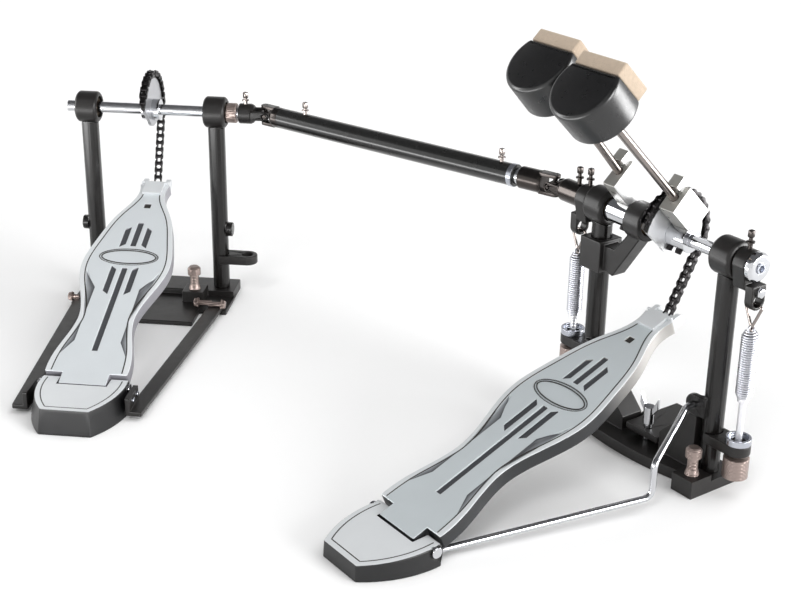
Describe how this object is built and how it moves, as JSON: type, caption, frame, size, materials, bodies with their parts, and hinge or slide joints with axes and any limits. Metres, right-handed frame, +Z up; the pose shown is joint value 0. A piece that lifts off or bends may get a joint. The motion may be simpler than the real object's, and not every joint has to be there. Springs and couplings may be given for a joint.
{
  "type": "double bass drum pedal",
  "caption": "Chain-driven bass drum pedal with hoop clamp, beaters and return springs, joined by a telescopic universal-joint shaft to a remote pedal for the other foot.",
  "frame": {"origin": "on the floor under the main pedal's axle, in the middle plane of its footboard", "axes": "+X along the main axle to the player's right, +Y forward to the drum, +Z up"},
  "size_m": [0.644, 0.4232, 0.3228],
  "materials": {
    "black_casting": "satin black coating on a casting",
    "silver_aluminium": "satin silver",
    "chrome": "polished plating",
    "plain_steel": "bright zinc",
    "knurled_steel": "knurled, darkened",
    "black_chain": "black oxide",
    "dark_grey_casting": "satin dark grey",
    "bearing_bronze": "plain bush",
    "gloss_black_tube": "gloss black",
    "black_plastic": "moulded",
    "beige_felt": "pressed felt"
  },
  "bodies": {
    "primary_frame": {"primary_base_plate": "black_casting", "primary_posts": "black_casting", "primary_bearing_housings": "black_casting", "primary_bearings": "bearing_bronze", "primary_centre_arm": "black_casting", "primary_heel_plate": "black_casting", "primary_hinge_pin": "chrome", "primary_radius_rods": "chrome", "primary_spur_bolts": "knurled_steel", "primary_spring_brackets": "black_casting", "primary_spring_cups": "plain_steel", "primary_chain_run": "black_chain"},
    "primary_footboard": {"primary_footboard": "silver_aluminium", "primary_toe_clip": "chrome"},
    "primary_axle": {"primary_axle": "chrome", "primary_sprocket": "silver_aluminium", "primary_chain_wrap": "black_chain", "primary_beater_holder": "dark_grey_casting", "primary_rocker": "black_casting"},
    "primary_beater": {"primary_beater_rod": "chrome", "primary_beater_head": "black_plastic", "primary_beater_felt": "beige_felt"},
    "right_spring": {"right_spring_adjuster": "plain_steel", "right_spring_coil": "plain_steel"},
    "right_link": {"right_spring_link": "chrome"},
    "hoop_jaw": {"hoop_clamp_jaw": "black_casting"},
    "hoop_screw": {"hoop_clamp_screw": "chrome"},
    "secondary_frame": {"secondary_base_plate": "black_casting", "secondary_posts": "black_casting", "secondary_bearing_housings": "black_casting", "secondary_bearings": "bearing_bronze", "secondary_heel_plate": "black_casting", "secondary_hinge_pin": "chrome", "secondary_straps": "black_casting", "secondary_spur_bolts": "knurled_steel", "secondary_spring_bracket": "black_casting", "secondary_chain_run": "black_chain"},
    "secondary_footboard": {"secondary_footboard": "silver_aluminium", "secondary_toe_clip": "chrome"},
    "secondary_axle": {"secondary_axle": "chrome", "secondary_sprocket": "silver_aluminium", "secondary_chain_wrap": "black_chain", "secondary_yoke": "black_casting"},
    "shaft_tube": {"shaft_tube": "gloss_black_tube", "shaft_tube_yoke": "black_casting"},
    "secondary_cross": {"secondary_joint_cross": "plain_steel"},
    "shaft_rod": {"shaft_inner_rod": "chrome", "shaft_rod_yoke": "black_casting"},
    "primary_cross": {"primary_joint_cross": "plain_steel"},
    "slave_axle": {"slave_axle": "chrome", "slave_beater_holder": "dark_grey_casting", "slave_rocker": "black_casting", "slave_yoke": "black_casting"},
    "slave_beater": {"slave_beater_rod": "chrome", "slave_beater_head": "black_plastic", "slave_beater_felt": "beige_felt"},
    "left_spring": {"left_spring_adjuster": "plain_steel", "left_spring_coil": "plain_steel"},
    "left_link": {"left_spring_link": "chrome"}
  },
  "joints": [
    {"name": "primary_footboard_hinge", "type": "hinge", "parent": "primary_frame", "child": "primary_footboard", "pos_m": [0, -0.2371, 0.0125], "axis": [1, 0, 0], "range_deg": [-8.74, 0], "stiffness_Nm_per_rad": 15, "springref_deg": 4.58, "deforming": ["primary_chain_run"]},
    {"name": "primary_axle_hinge", "type": "hinge", "parent": "primary_frame", "child": "primary_axle", "pos_m": [0, 0, 0.1775], "axis": [1, 0, 0], "range_deg": [-56.27, 0]},
    {"name": "primary_beater_height", "type": "slide", "parent": "primary_axle", "child": "primary_beater", "axis": [0, -0.7071, 0.7071], "range_m": [-0.012, 0.02]},
    {"name": "right_spring_swing", "type": "hinge", "parent": "primary_frame", "child": "right_spring", "pos_m": [0.0808, 0, 0.034], "axis": [1, 0, 0], "range_deg": [0, 8.74]},
    {"name": "right_spring_stretch", "type": "slide", "parent": "right_spring", "child": "right_link", "axis": [0, 0, 1], "range_m": [0, 0.01221], "deforming": ["right_spring_coil"]},
    {"name": "hoop_jaw_hinge", "type": "hinge", "parent": "primary_frame", "child": "hoop_jaw", "pos_m": [-0.004, 0.014, 0.0135], "axis": [1, 0, 0], "range_deg": [-4, 6]},
    {"name": "hoop_screw_travel", "type": "slide", "parent": "hoop_jaw", "child": "hoop_screw", "axis": [0, 0, 1], "range_m": [-0.00128, 0.00191]},
    {"name": "shaft_length", "type": "slide", "parent": "primary_frame", "child": "secondary_frame", "axis": [-0.9589, -0.2838, 0], "range_m": [0, 0.08]},
    {"name": "secondary_footboard_hinge", "type": "hinge", "parent": "secondary_frame", "child": "secondary_footboard", "pos_m": [-0.31637, -0.32379, 0.0159], "axis": [0.6756, 0.7373, 0], "range_deg": [-8.17, 0], "stiffness_Nm_per_rad": 15, "springref_deg": 4.58, "deforming": ["secondary_chain_run"]},
    {"name": "secondary_axle_hinge", "type": "hinge", "parent": "secondary_frame", "child": "secondary_axle", "pos_m": [-0.4914, -0.1634, 0.1775], "axis": [0.6756, 0.7373, 0], "range_deg": [-56.27, 0]},
    {"name": "shaft_tube_turn", "type": "hinge", "parent": "secondary_frame", "child": "shaft_tube", "pos_m": [-0.421, -0.08658, 0.1775], "axis": [0.9589, 0.2838, 0], "range_deg": [-60.22, 0]},
    {"name": "secondary_cross_turn", "type": "hinge", "parent": "shaft_tube", "child": "secondary_cross", "pos_m": [-0.421, -0.08658, 0.1775], "axis": [0, 0, 1], "range_deg": [-14.4, 0]},
    {"name": "shaft_rod_turn", "type": "hinge", "parent": "primary_frame", "child": "shaft_rod", "pos_m": [-0.1285, 0, 0.1775], "axis": [0.9589, 0.2838, 0], "range_deg": [-60.22, 0]},
    {"name": "primary_cross_turn", "type": "hinge", "parent": "shaft_rod", "child": "primary_cross", "pos_m": [-0.1285, 0, 0.1775], "axis": [0, 0, 1], "range_deg": [0, 8.14]},
    {"name": "slave_axle_hinge", "type": "hinge", "parent": "primary_frame", "child": "slave_axle", "pos_m": [0, 0, 0.1775], "axis": [1, 0, 0], "range_deg": [-59.17, 0]},
    {"name": "slave_beater_height", "type": "slide", "parent": "slave_axle", "child": "slave_beater", "axis": [0, -0.6665, 0.7455], "range_m": [-0.012, 0.02]},
    {"name": "left_spring_swing", "type": "hinge", "parent": "primary_frame", "child": "left_spring", "pos_m": [-0.098, 0, 0.054], "axis": [1, 0, 0], "range_deg": [0, 10.52]},
    {"name": "left_spring_stretch", "type": "slide", "parent": "left_spring", "child": "left_link", "axis": [0, 0, 1], "range_m": [0, 0.01361], "deforming": ["left_spring_coil"]}
  ],
  "couplings": [
    {"joint": "primary_axle_hinge", "follows": "primary_footboard_hinge", "ratio": 6.438},
    {"joint": "right_spring_swing", "follows": "primary_footboard_hinge", "ratio": -0.99757},
    {"joint": "right_spring_stretch", "follows": "primary_footboard_hinge", "m_per_rad": -0.079919},
    {"joint": "hoop_screw_travel", "follows": "hoop_jaw_hinge", "m_per_rad": 0.018},
    {"joint": "secondary_axle_hinge", "follows": "secondary_footboard_hinge", "ratio": 6.8857},
    {"joint": "shaft_tube_turn", "follows": "secondary_footboard_hinge", "ratio": 7.3694},
    {"joint": "secondary_cross_turn", "follows": "secondary_footboard_hinge", "ratio": 1.7602},
    {"joint": "shaft_rod_turn", "follows": "secondary_footboard_hinge", "ratio": 7.3694},
    {"joint": "primary_cross_turn", "follows": "secondary_footboard_hinge", "ratio": -0.99402},
    {"joint": "slave_axle_hinge", "follows": "secondary_footboard_hinge", "ratio": 7.2411},
    {"joint": "left_spring_swing", "follows": "secondary_footboard_hinge", "ratio": -1.2851},
    {"joint": "left_spring_stretch", "follows": "secondary_footboard_hinge", "m_per_rad": -0.095296}
  ]
}
